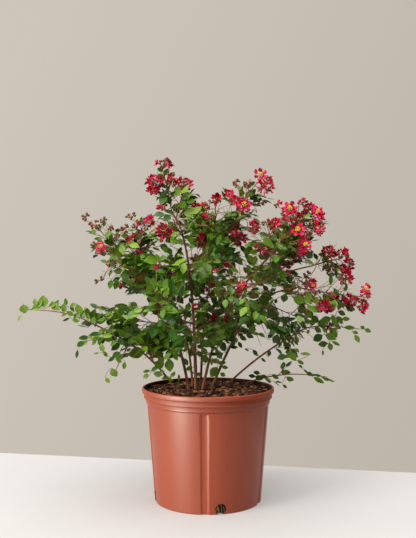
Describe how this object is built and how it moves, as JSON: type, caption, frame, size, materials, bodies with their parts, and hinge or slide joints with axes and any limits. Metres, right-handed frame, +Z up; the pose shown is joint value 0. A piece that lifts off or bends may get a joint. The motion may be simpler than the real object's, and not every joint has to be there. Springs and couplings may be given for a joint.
{
  "type": "potted flowering shrub",
  "caption": "Bushy crimson-flowered crape myrtle with slender stems, oval green leaves and ruffled flower heads, in a round tapered terracotta-coloured plastic nursery pot.",
  "frame": {"origin": "centre of the pot's flat underside, on the floor", "axes": "+Z up, -Y towards the side pictured, +X to the right as seen from there"},
  "size_m": [0.734, 0.506, 0.7411],
  "materials": {
    "pot": "satin, faintly scuffed",
    "potting_mix": "rough, loose bark",
    "bark": "matt",
    "foliage": "satin leaf"
  },
  "bodies": {
    "root": {"bough_back_right": "bark", "bough_far_left": "bark", "bough_front_left": "bark", "bough_front_right": "bark", "bough_low_left": "bark", "bough_right": "bark", "bough_right_leader": "bark", "bough_right_low": "bark", "bough_upper_left": "bark", "bough_upper_right": "bark", "foliage_back": "foliage", "foliage_back_left": "foliage", "foliage_back_low": "foliage", "foliage_back_right": "foliage", "foliage_back_top": "foliage", "foliage_big_crimson": "foliage", "foliage_centre": "foliage", "foliage_centre_back": "foliage", "foliage_centre_top": "foliage", "foliage_dark_left": "foliage", "foliage_far_left": "foliage", "foliage_far_right": "foliage", "foliage_front_left": "foliage", "foliage_front_low": "foliage", "foliage_front_right": "foliage", "foliage_left_behind": "foliage", "foliage_left_centre": "foliage", "foliage_left_crimson": "foliage", "foliage_left_droop": "foliage", "foliage_left_flower": "foliage", "foliage_left_inner": "foliage", "foliage_left_low": "foliage", "foliage_left_middle": "foliage", "foliage_low_left": "foliage", "foliage_low_right": "foliage", "foliage_middle_right": "foliage", "foliage_right": "foliage", "foliage_right_droop": "foliage", "foliage_right_flower": "foliage", "foliage_right_fork": "foliage", "foliage_right_front": "foliage", "foliage_right_inner": "foliage", "foliage_right_low": "foliage", "foliage_right_tip": "foliage", "foliage_right_top": "foliage", "foliage_second_top": "foliage", "foliage_top": "foliage", "foliage_upper_left": "foliage", "foliage_upper_right": "foliage", "pot": "pot", "potting_mix": "potting_mix", "stem_back": "bark", "stem_back_left": "bark", "stem_centre": "bark", "stem_far_left": "bark", "stem_far_right": "bark", "stem_leader": "bark", "stem_left": "bark", "stem_low_right": "bark", "stem_right": "bark"}
  },
  "joints": []
}
